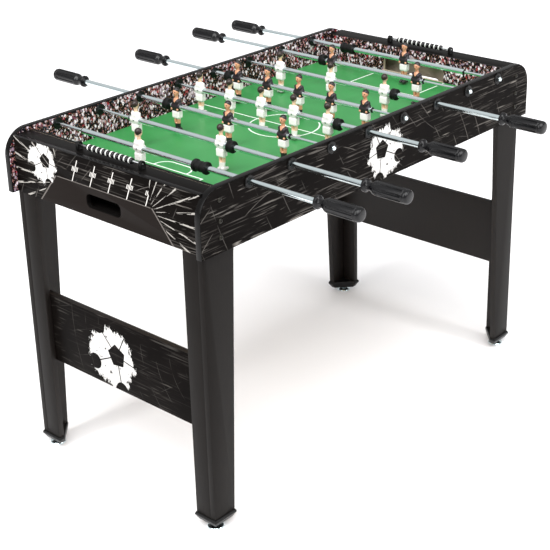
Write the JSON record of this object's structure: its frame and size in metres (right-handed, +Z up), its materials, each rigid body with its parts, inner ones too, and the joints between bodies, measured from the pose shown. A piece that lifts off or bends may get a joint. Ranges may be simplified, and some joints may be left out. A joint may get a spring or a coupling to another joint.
{
  "type": "foosball table",
  "caption": "Free-standing table football game with telescopic rods carrying hanging men, goals, ball returns and sliding-bead scorers, on tapered L-section legs.",
  "frame": {"origin": "on the floor under the middle of the table", "axes": "+X along the table to the end that the black team defends, +Y across the table to the far side, +Z up"},
  "size_m": [1.2, 1.249, 0.846],
  "materials": {
    "printed_board": "printed laminate on fibreboard, satin",
    "playfield": "printed green laminate, satin",
    "leg_board": "dark foil laminate, satin",
    "chrome": "polished plated tube",
    "grip": "moulded, satin",
    "bearing": "moulded, satin",
    "rubber": "moulded, dull",
    "white_man": "moulded and hand painted",
    "black_man": "moulded and hand painted",
    "bead": "moulded"
  },
  "bodies": {
    "table": {"side_panel_near": "printed_board", "side_panel_far": "printed_board", "end_box_left": "printed_board", "end_box_right": "printed_board", "playfield": "playfield", "leg_near_left": "leg_board", "leg_near_right": "leg_board", "leg_far_left": "leg_board", "leg_far_right": "leg_board", "stretcher_left": "leg_board", "stretcher_right": "leg_board"},
    "beads_left": {"score_beads_left": "bead"},
    "beads_right": {"score_beads_right": "bead"},
    "bar_1": {"inner_bar_1": "chrome"},
    "row_1": {"rod_tube_1": "chrome", "handle_1": "grip", "man_1_1": "white_man"},
    "bar_2": {"inner_bar_2": "chrome"},
    "row_2": {"rod_tube_2": "chrome", "handle_2": "grip", "man_2_1": "white_man", "man_2_2": "white_man"},
    "bar_3": {"inner_bar_3": "chrome"},
    "row_3": {"rod_tube_3": "chrome", "handle_3": "grip", "man_3_1": "black_man", "man_3_2": "black_man", "man_3_3": "black_man"},
    "bar_4": {"inner_bar_4": "chrome"},
    "row_4": {"rod_tube_4": "chrome", "handle_4": "grip", "man_4_1": "white_man", "man_4_2": "white_man", "man_4_3": "white_man", "man_4_4": "white_man", "man_4_5": "white_man"},
    "bar_5": {"inner_bar_5": "chrome"},
    "row_5": {"rod_tube_5": "chrome", "handle_5": "grip", "man_5_1": "black_man", "man_5_2": "black_man", "man_5_3": "black_man", "man_5_4": "black_man", "man_5_5": "black_man"},
    "bar_6": {"inner_bar_6": "chrome"},
    "row_6": {"rod_tube_6": "chrome", "handle_6": "grip", "man_6_1": "white_man", "man_6_2": "white_man", "man_6_3": "white_man"},
    "bar_7": {"inner_bar_7": "chrome"},
    "row_7": {"rod_tube_7": "chrome", "handle_7": "grip", "man_7_1": "black_man", "man_7_2": "black_man"},
    "bar_8": {"inner_bar_8": "chrome"},
    "row_8": {"rod_tube_8": "chrome", "handle_8": "grip", "man_8_1": "black_man"}
  },
  "joints": [
    {"name": "spin_1", "type": "hinge", "parent": "table", "child": "bar_1", "pos_m": [-0.455, 0, 0.799], "axis": [0, 1, 0], "continuous": true},
    {"name": "slide_1", "type": "slide", "parent": "bar_1", "child": "row_1", "axis": [0, -1, 0], "range_m": [-0.086, 0.0985]},
    {"name": "spin_2", "type": "hinge", "parent": "table", "child": "bar_2", "pos_m": [-0.325, 0, 0.799], "axis": [0, 1, 0], "continuous": true},
    {"name": "slide_2", "type": "slide", "parent": "bar_2", "child": "row_2", "axis": [0, -1, 0], "range_m": [-0.1015, 0.1465]},
    {"name": "spin_3", "type": "hinge", "parent": "table", "child": "bar_3", "pos_m": [-0.195, 0, 0.799], "axis": [0, 1, 0], "continuous": true},
    {"name": "slide_3", "type": "slide", "parent": "bar_3", "child": "row_3", "axis": [0, 1, 0], "range_m": [-0.097, 0.086]},
    {"name": "spin_4", "type": "hinge", "parent": "table", "child": "bar_4", "pos_m": [-0.065, 0, 0.799], "axis": [0, 1, 0], "continuous": true},
    {"name": "slide_4", "type": "slide", "parent": "bar_4", "child": "row_4", "axis": [0, -1, 0], "range_m": [-0.052, 0.059]},
    {"name": "spin_5", "type": "hinge", "parent": "table", "child": "bar_5", "pos_m": [0.065, 0, 0.799], "axis": [0, 1, 0], "continuous": true},
    {"name": "slide_5", "type": "slide", "parent": "bar_5", "child": "row_5", "axis": [0, 1, 0], "range_m": [-0.07, 0.041]},
    {"name": "spin_6", "type": "hinge", "parent": "table", "child": "bar_6", "pos_m": [0.195, 0, 0.799], "axis": [0, 1, 0], "continuous": true},
    {"name": "slide_6", "type": "slide", "parent": "bar_6", "child": "row_6", "axis": [0, -1, 0], "range_m": [-0.087, 0.096]},
    {"name": "spin_7", "type": "hinge", "parent": "table", "child": "bar_7", "pos_m": [0.325, 0, 0.799], "axis": [0, 1, 0], "continuous": true},
    {"name": "slide_7", "type": "slide", "parent": "bar_7", "child": "row_7", "axis": [0, 1, 0], "range_m": [-0.1115, 0.1365]},
    {"name": "spin_8", "type": "hinge", "parent": "table", "child": "bar_8", "pos_m": [0.455, 0, 0.799], "axis": [0, 1, 0], "continuous": true},
    {"name": "slide_8", "type": "slide", "parent": "bar_8", "child": "row_8", "axis": [0, 1, 0], "range_m": [-0.079, 0.1055]},
    {"name": "score_left", "type": "slide", "parent": "table", "child": "beads_left", "axis": [0, 1, 0], "range_m": [-0.022, 0.022]},
    {"name": "score_right", "type": "slide", "parent": "table", "child": "beads_right", "axis": [0, 1, 0], "range_m": [-0.022, 0.022]}
  ]
}
